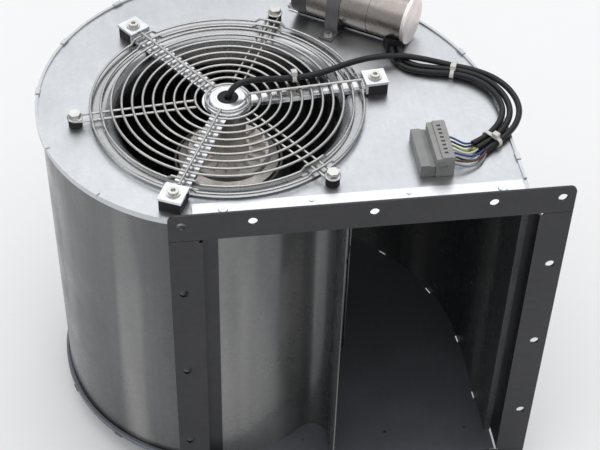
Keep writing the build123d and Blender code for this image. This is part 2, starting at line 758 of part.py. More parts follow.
with BuildPart() as top_guard:
    mirror(guard(-1, GUARD_TOP_Z).part, about=Plane.XY)
finish(top_guard, "top_guard")
bottom_guard = guard(-1, GUARD_BOTTOM_Z)
finish(bottom_guard, "bottom_guard")
top_guard_spacers = guard_spacers(1, GUARD_TOP_Z)
finish(top_guard_spacers, "top_guard_spacers")
bottom_guard_spacers = guard_spacers(-1, GUARD_BOTTOM_Z)
finish(bottom_guard_spacers, "bottom_guard_spacers")
top_guard_screws = guard_screws(1, GUARD_TOP_Z)
finish(top_guard_screws, "top_guard_screws")
bottom_guard_screws = guard_screws(-1, GUARD_BOTTOM_Z)
finish(bottom_guard_screws, "bottom_guard_screws")


# ---------------------------------------------------------------- capacitor
CAP_Z = PLATE_OUT + CAP_LIFT + CAP_R
CAP_DIR = (math.cos(math.radians(CAP_ANGLE)), math.sin(math.radians(CAP_ANGLE)), 0)
END_CAP_L = 4.0
TERMINAL_CAP_L = 16.0
GROOVE_AT = 39.0           # rolled groove, from the right end
STRAP_AT = 73.0            # clamp strap, from the right end
STRAP_W = 13.0
STRAP_T = 1.2
STRAP_SCREW = CAP_R + 7.5  # screws of the strap's feet, from the can's axis
BRACKET_T = 0.8
BRACKET_W = 19.0
EAR_L = 20.0


def cap_plane(back=0.0, z=CAP_Z):
    """Plane across the capacitor, back along it from its right end: Z along the can."""
    x = CAP_END[0] - back * CAP_DIR[0]
    y = CAP_END[1] - back * CAP_DIR[1]
    return Plane(origin=(x, y, z), x_dir=(-CAP_DIR[1], CAP_DIR[0], 0), z_dir=CAP_DIR)


def plate_plane(back, lift=0.0):
    """Plane on the side plate under the capacitor: local X along the can, to the right."""
    x = CAP_END[0] - back * CAP_DIR[0]
    y = CAP_END[1] - back * CAP_DIR[1]
    return Plane(origin=(x, y, PLATE_OUT + lift), x_dir=CAP_DIR, z_dir=(0, 0, 1))


with BuildPart() as capacitor_can:
    with BuildSketch(cap_plane(CAP_L - TERMINAL_CAP_L)):
        Circle(CAP_R)
    extrude(amount=CAP_L - TERMINAL_CAP_L - END_CAP_L)
    with BuildSketch(cap_plane(GROOVE_AT)):
        Circle(CAP_R)
        Circle(CAP_R - 0.8, mode=Mode.SUBTRACT)
    extrude(amount=1.4, mode=Mode.SUBTRACT)
finish(capacitor_can, "capacitor_can")

with BuildPart() as capacitor_end_cap:
    with BuildSketch(cap_plane(END_CAP_L)):
        Circle(CAP_R + 0.4)
    extrude(amount=END_CAP_L)
    fillet(capacitor_end_cap.edges().sort_by(Axis(origin=(0, 0, 0), direction=CAP_DIR))[-1], 1.5)
finish(capacitor_end_cap, "capacitor_end_cap")

with BuildPart() as capacitor_terminal_cap:
    with BuildSketch(cap_plane(CAP_L)):
        Circle(CAP_R + 0.5)
    extrude(amount=TERMINAL_CAP_L)
    fillet(capacitor_terminal_cap.edges().sort_by(Axis(origin=(0, 0, 0), direction=CAP_DIR))[0], 2)
finish(capacitor_terminal_cap, "capacitor_terminal_cap")

with BuildPart() as capacitor_strap:
    with BuildSketch(cap_plane(STRAP_AT + STRAP_W / 2)):
        Circle(CAP_R + STRAP_T)
        Circle(CAP_R, mode=Mode.SUBTRACT)
        with Locations((0, -CAP_R)):
            Rectangle(30, 2 * CAP_LIFT, mode=Mode.SUBTRACT)
    extrude(amount=STRAP_W)
    for side in (-1, 1):
        with BuildSketch(plate_plane(STRAP_AT, CAP_LIFT - STRAP_T)):
            with Locations((0, side * (CAP_R + 4.5))):
                Rectangle(STRAP_W, 19)
            with Locations((0, side * STRAP_SCREW)):
                Circle(2.1, mode=Mode.SUBTRACT)
        extrude(amount=STRAP_T)
        with BuildSketch(plate_plane(STRAP_AT, CAP_LIFT - STRAP_T)):
            with Locations((0, side * (CAP_R + 0.7))):
                Rectangle(STRAP_W, STRAP_T)
        extrude(amount=CAP_R)
    with BuildSketch(cap_plane(STRAP_AT + STRAP_W / 2)):
        Circle(CAP_R + 0.01)
    extrude(amount=STRAP_W, mode=Mode.SUBTRACT)
finish(capacitor_strap, "capacitor_strap")

with BuildPart() as capacitor_screws:
    seats = [(STRAP_AT, side * STRAP_SCREW, CAP_LIFT) for side in (-1, 1)]
    seats.append((CAP_L + 8, 0, 0.1 + BRACKET_T))
    for back, across, seat in seats:
        with BuildSketch(plate_plane(back, 0.1)):
            with Locations((0, across)):
                Circle(2)
        extrude(amount=seat)
        with BuildSketch(plate_plane(back, seat)):
            with Locations((0, across)):
                Circle(5)
        extrude(amount=0.8)
        with BuildSketch(plate_plane(back, seat + 0.8)):
            with Locations((0, across)):
                RegularPolygon(4.2, 6)
        extrude(amount=3.2)
finish(capacitor_screws, "capacitor_screws")

with BuildPart() as capacitor_bracket:
    with BuildSketch(plate_plane(CAP_L / 2 + EAR_L / 2, 0.1)):
        Rectangle(CAP_L + EAR_L - 24, BRACKET_W)
        with Locations((-(CAP_L + 8 - CAP_L / 2 - EAR_L / 2), 0)):
            Circle(2.1, mode=Mode.SUBTRACT)
        with Locations((-(STRAP_AT - CAP_L / 2 - EAR_L / 2), 0)):
            Rectangle(STRAP_W + 1, 60, mode=Mode.SUBTRACT)
            Rectangle(STRAP_W + 20, 10)
    extrude(amount=BRACKET_T)
finish(capacitor_bracket, "capacitor_bracket")

# gland under the can's right end, through which the leads leave
GLAND_FACE_Y = 228.4
GLAND_X = 59.0
with BuildPart() as capacitor_gland:
    with BuildSketch(Plane.XY.offset(PLATE_OUT + LIE)):
        with Locations((GLAND_X, GLAND_FACE_Y + 9)):
            Rectangle(16, 18)
    extrude(amount=13)
    with BuildSketch(cap_plane(CAP_L)):
        Circle(CAP_R + 0.6)
    extrude(amount=CAP_L + 10, mode=Mode.SUBTRACT)
    with BuildSketch(plate_plane(CAP_L / 2 + EAR_L / 2, 0)):
        Rectangle(CAP_L + EAR_L - 20, BRACKET_W + 1)
    extrude(amount=1.3, mode=Mode.SUBTRACT)
finish(capacitor_gland, "capacitor_gland")


# ---------------------------------------------------------------- pluggable connector
CONNECTOR_Z = PLATE_OUT + LIE
MID_Y = (PLUG_Y[0] + PLUG_Y[1]) / 2
PLUG_W = PLUG_X[1] - PLUG_X[0]
PLUG_L = PLUG_Y[1] - PLUG_Y[0]
NOSE_L = 4.2               # the plug's nose reaches into the header
ENTRY_Z = PLATE_OUT + 8.5  # height of the wire entries
PLUG_STEP = 1.6            # left strip of the plug's top is this much lower
WAY_Y = [MID_Y + (index - (WAYS - 1) / 2) * WAY_PITCH for index in range(WAYS)]

with BuildPart() as terminal_plug:
    with BuildSketch(Plane.XY.offset(CONNECTOR_Z)):
        with Locations(((PLUG_X[0] + PLUG_X[1]) / 2, MID_Y)):
            Rectangle(PLUG_W, PLUG_L)
    extrude(amount=PLUG_H)
    chamfer(terminal_plug.edges().filter_by(Axis.Y), 0.6)
    with BuildSketch(Plane.XY.offset(CONNECTOR_Z + PLUG_H - PLUG_STEP)):
        with Locations((PLUG_X[0] + 2.4, MID_Y)):
            Rectangle(4.8, PLUG_L)
    extrude(amount=PLUG_STEP, mode=Mode.SUBTRACT)
    # nose in the header
    with BuildSketch(Plane.XY.offset(CONNECTOR_Z + 1.5)):
        with Locations((PLUG_X[0] - NOSE_L / 2, MID_Y)):
            Rectangle(NOSE_L, PLUG_L - 5)
    extrude(amount=HEADER_H - 3)
    for y in WAY_Y:
        with BuildSketch(Plane.XY.offset(CONNECTOR_Z + PLUG_H)):
            with Locations((PLUG_X[0] + 9.3, y)):
                Rectangle(3.4, 2.3)
        extrude(amount=-5, mode=Mode.SUBTRACT)
        with BuildSketch(Plane.YZ.offset(PLUG_X[1])):
            with Locations((y, ENTRY_Z)):
                Circle(1.9)
        extrude(amount=-5, mode=Mode.SUBTRACT)
    # round latch boss at the near end
    with BuildSketch(Plane.XZ.offset(-PLUG_Y[0])):
        with Locations((PLUG_X[0] + 8, CONNECTOR_Z + 11)):
            Circle(3.6)
            Circle(1.8, mode=Mode.SUBTRACT)
    extrude(amount=0.8)
finish(terminal_plug, "terminal_plug")

with BuildPart() as plug_clamp_screws:
    for y in WAY_Y:
        with BuildSketch(Plane.XY.offset(CONNECTOR_Z + PLUG_H - 5)):
            with Locations((PLUG_X[0] + 9.3, y)):
                Circle(1.1)
        extrude(amount=1.5)
finish(plug_clamp_screws, "plug_clamp_screws")

HEADER_GAP = 0.25
with BuildPart() as terminal_header:
    with BuildSketch(Plane.XY.offset(CONNECTOR_Z)):
        with Locations(((HEADER_X[0] + PLUG_X[0] - HEADER_GAP) / 2, MID_Y + 1)):
            Rectangle(PLUG_X[0] - HEADER_GAP - HEADER_X[0], PLUG_L)
    extrude(amount=HEADER_H)
    chamfer(terminal_header.edges().filter_by(Axis.Y), 0.5)
    # the part over the plug's nose is lower
    with BuildSketch(Plane.XY.offset(CONNECTOR_Z + HEADER_H - 1.2)):
        with Locations(((HEADER_X[1] + PLUG_X[0]) / 2, MID_Y + 1)):
            Rectangle(PLUG_X[0] - HEADER_X[1], PLUG_L)
    extrude(amount=2, mode=Mode.SUBTRACT)
    # socket for the nose
    with BuildSketch(Plane.XY.offset(CONNECTOR_Z + 1.5 - HEADER_GAP)):
        with Locations((PLUG_X[0] - (NOSE_L + 2) / 2, MID_Y)):
            Rectangle(NOSE_L + 2, PLUG_L - 5 + 2 * HEADER_GAP)
    extrude(amount=HEADER_H - 3 + 2 * HEADER_GAP, mode=Mode.SUBTRACT)
finish(terminal_header, "terminal_header")


# ---------------------------------------------------------------- cables, wires and ties
def path_radii(points):
    """Bend radius at each inner point: as large as the two runs beside it allow."""
    radii = []
    for before, here, after in zip(points, points[1:], points[2:]):
        first = Vector(*here) - Vector(*before)
        second = Vector(*after) - Vector(*here)
        half_turn = math.radians(first.get_angle(second)) / 2
        radii.append(0.45 * min(first.length, second.length) / math.tan(half_turn))
    return radii


def cord(points, radius, name):
    """Round cord along straight runs joined by tangent arcs; prints how it compares."""
    radii = path_radii(points)
    with BuildPart() as tube:
        with BuildLine() as path:
            FilletPolyline(*points, radius=radii)
        with BuildSketch(Plane(origin=points[0], z_dir=Vector(*points[1]) - Vector(*points[0]))):
            Circle(radius)
        sweep(path=path.line)
    length = sum(edge.length for edge in path.edges())
    ratio = tube.part.volume / (math.pi * radius**2 * length)
    bends = " ".join(f"{bend:.0f}" for bend in radii)
    print(f"{name}: {length:.1f} mm, volume ratio {ratio:.4f}, bend radii {bends}")
    return tube


MOTOR_LEAD = [
    (-104.0, 167.0, 158.0),
    (-104.0, 167.0, 171.5),
    (-101.0, 168.0, 179.5),
    (-93.5, 170.8, 184.5),
    (-82.0, 174.6, 184.0),
    (-69.0, 178.2, 181.0),
    (-55.5, 181.2, 178.2),
    (-40.0, 182.8, 176.7),
    (-21.0, 186.0, 176.6),
    (-3.0, 193.5, 176.4),
    (15.0, 203.5, 174.5),
    (37.0, 211.5, 172.1),
    (61.0, 212.5, 171.5),
    (85.0, 206.0, 169.4),
    (108.0, 198.0, 166.6),
    (127.0, 189.0, 166.8),
    (143.5, 173.5, 167.9),
    (153.5, 151.5, 168.4),
    (154.5, 127.5, 168.4),
    (145.5, 107.0, 167.8),
    (131.3, 93.3, 166.6),
    (119.8, 84.8, 166.2),
    (111.0, 78.0, 165.6),
]
CAP_LEAD_OUTER = [
    (62.2, 228.4, 168.4),
    (62.4, 219.5, 166.2),
    (65.0, 211.5, 165.3),
    (71.0, 205.0, 165.2),
    (80.0, 200.6, 165.4),
    (94.0, 196.3, 165.9),
    (108.0, 191.6, 166.5),
    (124.0, 183.5, 166.9),
    (137.5, 169.0, 167.6),
    (145.0, 149.5, 168.0),
    (146.0, 128.5, 168.0),
    (138.5, 110.0, 167.6),
    (126.5, 97.0, 166.7),
    (115.0, 88.6, 166.2),
    (105.0, 83.0, 165.5),
]
CAP_LEAD_INNER = [
    (55.8, 228.4, 168.4),
    (55.6, 219.0, 166.2),
    (57.6, 209.8, 165.3),
    (63.2, 201.6, 165.2),
    (72.2, 195.8, 165.3),
    (84.0, 192.0, 165.5),
    (95.0, 189.4, 165.9),
    (106.0, 186.0, 166.5),
    (120.5, 178.0, 167.0),
    (132.0, 165.0, 167.7),
    (138.5, 148.0, 168.0),
    (139.3, 129.5, 168.0),
    (132.5, 113.0, 167.6),
    (121.5, 101.0, 166.7),
    (111.5, 93.5, 166.2),
    (102.5, 89.4, 165.5),
]

motor_lead = cord(MOTOR_LEAD, CABLE_R, "motor_lead")
finish(motor_lead, "motor_lead")
capacitor_lead_outer = cord(CAP_LEAD_OUTER, CABLE_R, "capacitor_lead_outer")
finish(capacitor_lead_outer, "capacitor_lead_outer")
capacitor_lead_inner = cord(CAP_LEAD_INNER, CABLE_R, "capacitor_lead_inner")
finish(capacitor_lead_inner, "capacitor_lead_inner")

# wires from the plug's entries to the cut sheaths: way, inner points, sheath, place on its end
ENTRY_X = PLUG_X[1] - 4
CORE_OFF = 1.2
WIRES = {
    "wire_blue_far": (7, [(83, 95.4, 170.4), (89.5, 90.6, 169.0), (96, 87.6, 166.6)], CAP_LEAD_INNER, 1, 0),
    "wire_black_far": (
        6,
        [(82.5, 90.0, 170.3), (89, 85.4, 168.8), (96.6, 83.6, 166.2)],
        CAP_LEAD_INNER,
        -1,
        0,
    ),
    "wire_green": (5, [(82.5, 84.9, 170.2), (88.5, 80.5, 168.6), (97, 78.8, 166.2)], CAP_LEAD_OUTER, 1, 0),
    "wire_white": (4, [(82.5, 79.7, 170.2), (89, 75.8, 168.4), (98.3, 75.4, 165.9)], CAP_LEAD_OUTER, -1, 0),
    "wire_blue_near": (
        3,
        [(82.5, 74.6, 170.2), (89, 71.4, 169.2), (97.5, 70.2, 167.8), (105, 73.9, 167)],
        MOTOR_LEAD,
        1,
        1,
    ),
    "wire_black_near": (
        2,
        [(82.5, 69.4, 170), (89.5, 67.0, 167.5), (98, 67.2, 165.2), (105.4, 72.0, 164.4)],
        MOTOR_LEAD,
        1,
        -1,
    ),
    "wire_brown": (
        1,
        [(82.5, 64.5, 170), (90, 62.8, 168.9), (99, 64.4, 167.6), (106.8, 70.2, 167)],
        MOTOR_LEAD,
        -1,
        1,
    ),
    "wire_grey": (
        0,
        [(82.5, 59.5, 169.8), (90.5, 58.8, 167), (100, 61.8, 164.8), (107.8, 68.6, 164.2)],
        MOTOR_LEAD,
        -1,
        -1,
    ),
}


def core_end(route, across, up):
    """Place of one wire on a sheath's cut end."""
    end = Vector(*route[-1])
    along = (end - Vector(*route[-2])).normalized()
    sideways = Vector(along.Y, -along.X, 0).normalized()
    over = sideways.cross(along)
    return tuple(end + sideways * (across * CORE_OFF) + over * (up * CORE_OFF))


for name, (way, inner_points, route, across, up) in WIRES.items():
    start = (ENTRY_X, WAY_Y[way], ENTRY_Z)
    wire = cord([start, *inner_points, core_end(route, across, up)], CORE_R, name)
    finish(wire, name)

# cable ties: a band round the cables with its head on top
TIE_W = 3.6
TIE_T = 1.0
TIE_HEAD = (5.5, 5.0, 4.5)
GUARD_TIE = (Vector(-42.6, 182.5, 0), Vector(15.5, 1.6, 0), 177.05, 0.0, 0.0)
BUNDLE_TIE = (Vector(107.0, 191.9, 0), Vector(19.0, -8.2, 0), 166.6, 12.4, 0.2)
SHEATH_END_TIE = (Vector(120.9, 92.8, 0), Vector(11.5, 8.5, 0), 166.5, 12.6, 0.2)


def cable_tie(centre, along, z, spread, height):
    """Band round one cable, or round a flat bundle that is spread wide; the head is on top."""
    inner_r = CABLE_R + 0.2
    across = Vector(-along.Y, along.X, 0).normalized()
    place = Plane(origin=(centre.X, centre.Y, z), x_dir=across, z_dir=along)
    with BuildPart() as tie:
        with BuildSketch(place.offset(-TIE_W / 2)):
            RectangleRounded(
                spread + 2 * inner_r + 2 * TIE_T, height + 2 * inner_r + 2 * TIE_T, inner_r + TIE_T - 0.01
            )
            RectangleRounded(spread + 2 * inner_r, height + 2 * inner_r, inner_r - 0.01, mode=Mode.SUBTRACT)
        extrude(amount=TIE_W)
        top = height / 2 + inner_r + TIE_T - 0.4
        with BuildSketch(place.offset(-TIE_HEAD[1] / 2)):
            with Locations((-spread / 4, top + TIE_HEAD[2] / 2)):
                Rectangle(TIE_HEAD[0], TIE_HEAD[2])
        extrude(amount=TIE_HEAD[1])
    return tie


guard_tie = cable_tie(*GUARD_TIE)
finish(guard_tie, "guard_tie")
bundle_tie = cable_tie(*BUNDLE_TIE)
finish(bundle_tie, "bundle_tie")
sheath_end_tie = cable_tie(*SHEATH_END_TIE)
finish(sheath_end_tie, "sheath_end_tie")
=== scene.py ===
"""Looks for the double-inlet centrifugal blower: camera, light, materials, cables and fastener detail."""
import json
import math

import bpy
from mathutils import Matrix, Vector


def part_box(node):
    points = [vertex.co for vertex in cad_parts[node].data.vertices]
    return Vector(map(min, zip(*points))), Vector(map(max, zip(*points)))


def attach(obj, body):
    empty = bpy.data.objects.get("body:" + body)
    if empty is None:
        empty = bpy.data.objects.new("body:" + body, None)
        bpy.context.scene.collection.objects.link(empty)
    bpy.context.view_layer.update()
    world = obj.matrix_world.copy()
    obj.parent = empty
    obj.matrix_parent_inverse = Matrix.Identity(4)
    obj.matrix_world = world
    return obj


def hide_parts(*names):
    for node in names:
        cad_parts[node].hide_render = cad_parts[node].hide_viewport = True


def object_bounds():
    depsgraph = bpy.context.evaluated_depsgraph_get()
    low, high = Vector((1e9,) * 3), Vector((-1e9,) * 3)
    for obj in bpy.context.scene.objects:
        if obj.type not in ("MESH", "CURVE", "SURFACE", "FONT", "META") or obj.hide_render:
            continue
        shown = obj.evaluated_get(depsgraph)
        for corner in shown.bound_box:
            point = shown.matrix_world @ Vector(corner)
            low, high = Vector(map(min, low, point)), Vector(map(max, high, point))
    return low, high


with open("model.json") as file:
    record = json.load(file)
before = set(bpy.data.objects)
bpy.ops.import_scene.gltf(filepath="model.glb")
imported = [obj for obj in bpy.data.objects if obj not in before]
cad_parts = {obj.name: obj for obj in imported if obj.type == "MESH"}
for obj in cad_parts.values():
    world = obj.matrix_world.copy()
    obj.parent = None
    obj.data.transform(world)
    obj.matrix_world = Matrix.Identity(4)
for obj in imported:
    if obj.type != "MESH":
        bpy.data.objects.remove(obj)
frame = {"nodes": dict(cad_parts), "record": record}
cad_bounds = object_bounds()
nodes = frame["nodes"]
MM = 0.001

# ---------------------------------------------------------------- camera
CAMERA_AT = Vector((-0.194, -0.842, 0.9985))
CAMERA_DOWN = math.radians(44.17)
CAMERA_TURN = math.radians(8.94)
CAMERA_ROLL = math.radians(1.81)
CAMERA_LENS = 87.6
CAMERA_SENSOR = 36.0
camera_data = bpy.data.cameras.new("camera")
camera_data.lens = CAMERA_LENS
camera_data.sensor_width = CAMERA_SENSOR
camera = bpy.data.objects.new("camera", camera_data)
bpy.context.scene.collection.objects.link(camera)
forward = Vector((
    math.sin(CAMERA_TURN) * math.cos(CAMERA_DOWN),
    math.cos(CAMERA_TURN) * math.cos(CAMERA_DOWN),
    -math.sin(CAMERA_DOWN),
))
level = Vector((math.cos(CAMERA_TURN), -math.sin(CAMERA_TURN), 0))
above = level.cross(forward)
across = level * math.cos(CAMERA_ROLL) + above * math.sin(CAMERA_ROLL)
upward = above * math.cos(CAMERA_ROLL) - level * math.sin(CAMERA_ROLL)
turn = Matrix((across, upward, -forward)).transposed().to_4x4()
camera.matrix_world = Matrix.Translation(CAMERA_AT) @ turn
bpy.context.scene.camera = camera

# ---------------------------------------------------------------- routes, in millimetres
CABLE_R = 2.8
CORE_R = 0.95
CORE_OFF = 1.2  # from the middle of a sheath to the middle of a core
MOTOR_LEAD = [
    (-104.0, 167.0, 158.0), (-104.0, 167.0, 171.5), (-101.0, 168.0, 179.5), (-93.5, 170.8, 184.5),
    (-82.0, 174.6, 184.0), (-69.0, 178.2, 181.0), (-55.5, 181.2, 178.2), (-40.0, 182.8, 176.7),
    (-21.0, 186.0, 176.6), (-3.0, 193.5, 176.4), (15.0, 203.5, 174.5), (37.0, 211.5, 172.1),
    (61.0, 212.5, 171.5), (85.0, 206.0, 169.4), (108.0, 198.0, 166.6), (127.0, 189.0, 166.8),
    (143.5, 173.5, 167.9), (153.5, 151.5, 168.4), (154.5, 127.5, 168.4), (145.5, 107.0, 167.8),
    (131.3, 93.3, 166.6), (119.8, 84.8, 166.2), (111.0, 78.0, 165.6),
]
CAP_LEAD_OUTER = [
    (62.2, 228.4, 168.4), (62.4, 219.5, 166.2), (65.0, 211.5, 165.3), (71.0, 205.0, 165.2),
    (80.0, 200.6, 165.4), (94.0, 196.3, 165.9), (108.0, 191.6, 166.5), (124.0, 183.5, 166.9),
    (137.5, 169.0, 167.6), (145.0, 149.5, 168.0), (146.0, 128.5, 168.0), (138.5, 110.0, 167.6),
    (126.5, 97.0, 166.7), (115.0, 88.6, 166.2), (105.0, 83.0, 165.5),
]
CAP_LEAD_INNER = [
    (55.8, 228.4, 168.4), (55.6, 219.0, 166.2), (57.6, 209.8, 165.3), (63.2, 201.6, 165.2),
    (72.2, 195.8, 165.3), (84.0, 192.0, 165.5), (95.0, 189.4, 165.9), (106.0, 186.0, 166.5),
    (120.5, 178.0, 167.0), (132.0, 165.0, 167.7), (138.5, 148.0, 168.0), (139.3, 129.5, 168.0),
    (132.5, 113.0, 167.6), (121.5, 101.0, 166.7), (111.5, 93.5, 166.2), (102.5, 89.4, 165.5),
]
SHEATHS = {
    "motor_lead": (MOTOR_LEAD, 400.7),
    "capacitor_lead_outer": (CAP_LEAD_OUTER, 207.6),
    "capacitor_lead_inner": (CAP_LEAD_INNER, 200.9),
}

# the plug's wire entries, way 0 nearest the outlet frame
ENTRY_X = 74.5
ENTRY_Z = 170.5
WAY_PITCH = 5.0
FIRST_WAY_Y = 61.0

# way in the plug, points between plug and sheath, the sheath's route, side and height in it, length
WIRES = {
    "wire_blue_far": (
        7, [(83, 95.4, 170.4), (89.5, 90.6, 169.0), (96, 87.6, 166.6)],
        CAP_LEAD_INNER, 1, 0, 30.4,
    ),
    "wire_black_far": (
        6, [(82.5, 90.0, 170.3), (89, 85.4, 168.8), (96.6, 83.6, 166.2)],
        CAP_LEAD_INNER, -1, 0, 31.7,
    ),
    "wire_green": (
        5, [(82.5, 84.9, 170.2), (88.5, 80.5, 168.6), (97, 78.8, 166.2)],
        CAP_LEAD_OUTER, 1, 0, 33.1,
    ),
    "wire_white": (
        4, [(82.5, 79.7, 170.2), (89, 75.8, 168.4), (98.3, 75.4, 165.9)],
        CAP_LEAD_OUTER, -1, 0, 34.7,
    ),
    "wire_blue_near": (
        3, [(82.5, 74.6, 170.2), (89, 71.4, 169.2), (97.5, 70.2, 167.8), (105, 73.9, 167)],
        MOTOR_LEAD, 1, 1, 39.4,
    ),
    "wire_black_near": (
        2, [(82.5, 69.4, 170), (89.5, 67.0, 167.5), (98, 67.2, 165.2), (105.4, 72.0, 164.4)],
        MOTOR_LEAD, 1, -1, 41.7,
    ),
    "wire_brown": (
        1, [(82.5, 64.5, 170), (90, 62.8, 168.9), (99, 64.4, 167.6), (106.8, 70.2, 167)],
        MOTOR_LEAD, -1, 1, 42.9,
    ),
    "wire_grey": (
        0, [(82.5, 59.5, 169.8), (90.5, 58.8, 167), (100, 61.8, 164.8), (107.8, 68.6, 164.2)],
        MOTOR_LEAD, -1, -1, 46.2,
    ),
}


def tube(name, points, radius):
    """One free cable or wire along a smooth spline, which rides on the housing and replaces its CAD node."""
    data = bpy.data.curves.new(name + "_cable", "CURVE")
    data.dimensions = "3D"
    spline = data.splines.new("NURBS")
    spline.points.add(len(points) - 1)
    for control, point in zip(spline.points, points):
        control.co = (point[0] * MM, point[1] * MM, point[2] * MM, 1)
        control.radius = radius * MM
    spline.order_u = 3
    spline.use_endpoint_u = True
    spline.resolution_u = 10
    data.bevel_depth = 1.0  # times the radius of each point
    data.bevel_resolution = 6
    data.use_fill_caps = True
    piece = bpy.data.objects.new(name + "_cable", data)
    bpy.context.scene.collection.objects.link(piece)
    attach(piece, "housing")
    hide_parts(name)
    return piece


def core_end(route, sideways, up):
    """Where one core leaves the cut end of its sheath."""
    end = Vector(route[-1])
    along = (end - Vector(route[-2])).normalized()
    side = Vector((along.y, -along.x, 0)).normalized()
    return end + side * (sideways * CORE_OFF) + side.cross(along) * (up * CORE_OFF)


cables = {name: tube(name, route, CABLE_R) for name, (route, length) in SHEATHS.items()}
for name, (way, inner, route, sideways, up, length) in WIRES.items():
    start = (ENTRY_X, FIRST_WAY_Y + way * WAY_PITCH, ENTRY_Z)
    points = [start, *inner, core_end(route, sideways, up)]
    cables[name] = tube(name, points, CORE_R)


# ---------------------------------------------------------------- material kit
class Shade:
    """One procedural material on Principled BSDF, in object coordinates (metres)."""

    def __init__(self, name):
        self.material = bpy.data.materials.new(name)
        self.material.use_nodes = True
        self.tree = self.material.node_tree
        self.shader = self.tree.nodes["Principled BSDF"]
        self.coords = self.tree.nodes.new("ShaderNodeTexCoord").outputs["Object"]

    def node(self, kind, **settings):
        made = self.tree.nodes.new(kind)
        for key, value in settings.items():
            setattr(made, key, value)
        return made

    def link(self, output, socket):
        self.tree.links.new(output, socket)

    def stretched(self, scale):
        """Object coordinates scaled per axis."""
        mapping = self.node("ShaderNodeMapping")
        self.link(self.coords, mapping.inputs["Vector"])
        mapping.inputs["Scale"].default_value = scale
        return mapping.outputs["Vector"]

    def noise(self, scale, detail=3.0, rough=0.55, stretch=(1, 1, 1)):
        made = self.node("ShaderNodeTexNoise")
        self.link(self.stretched(stretch), made.inputs["Vector"])
        made.inputs["Scale"].default_value = scale
        made.inputs["Detail"].default_value = detail
        made.inputs["Roughness"].default_value = rough
        return made.outputs["Fac"]

    def cells(self, scale, stretch=(1, 1, 1), output="Distance"):
        made = self.node("ShaderNodeTexVoronoi")
        self.link(self.stretched(stretch), made.inputs["Vector"])
        made.inputs["Scale"].default_value = scale
        return made.outputs[output]

    def ramp(self, value, low, high, start=0.0, end=1.0):
        """A value between low and high, spread from start to end and held there beyond them."""
        made = self.node("ShaderNodeMapRange", clamp=True)
        self.link(value, made.inputs["Value"])
        for key, number in (("From Min", low), ("From Max", high), ("To Min", start), ("To Max", end)):
            made.inputs[key].default_value = number
        return made.outputs["Result"]

    def blend(self, fac, first, second, mode="MIX"):
        """Two colours mixed; each is a socket or a colour, and fac is a socket or a number."""
        made = self.node("ShaderNodeMix", data_type="RGBA", blend_type=mode)
        for socket, value in ((made.inputs[0], fac), (made.inputs[6], first), (made.inputs[7], second)):
            if hasattr(value, "is_linked"):
                self.link(value, socket)
            elif isinstance(value, (tuple, list)):
                socket.default_value = (*value[:3], 1)
            else:
                socket.default_value = value
        return made.outputs[2]

    def bump(self, layers):
        """Bumps on top of each other, each a height socket, a distance in metres and a strength."""
        normal = None
        for height, distance, strength in layers:
            made = self.node("ShaderNodeBump")
            made.inputs["Distance"].default_value = distance
            made.inputs["Strength"].default_value = strength
            self.link(height, made.inputs["Height"])
            if normal is not None:
                self.link(normal, made.inputs["Normal"])
            normal = made.outputs["Normal"]
        self.link(normal, self.shader.inputs["Normal"])

    def axis(self, index):
        """One object coordinate, in metres."""
        split = self.node("ShaderNodeSeparateXYZ")
        self.link(self.coords, split.inputs["Vector"])
        return split.outputs[index]

    def colour(self, value):
        socket = self.shader.inputs["Base Color"]
        if isinstance(value, (tuple, list)):
            socket.default_value = (*value, 1)
        else:
            self.link(value, socket)

    def rough(self, value):
        socket = self.shader.inputs["Roughness"]
        if hasattr(value, "is_linked"):
            self.link(value, socket)
        else:
            socket.default_value = value

    def plain(self, **values):
        for key, value in values.items():
            self.shader.inputs[key.replace("_", " ")].default_value = value


def scaled(colour, factor):
    return tuple(min(1.0, part * factor) for part in colour)


SPANGLE_SCALE = 260
SPANGLE_TONE = 0.04
LEG_START, LEG_END = 0.0022, 0.0026


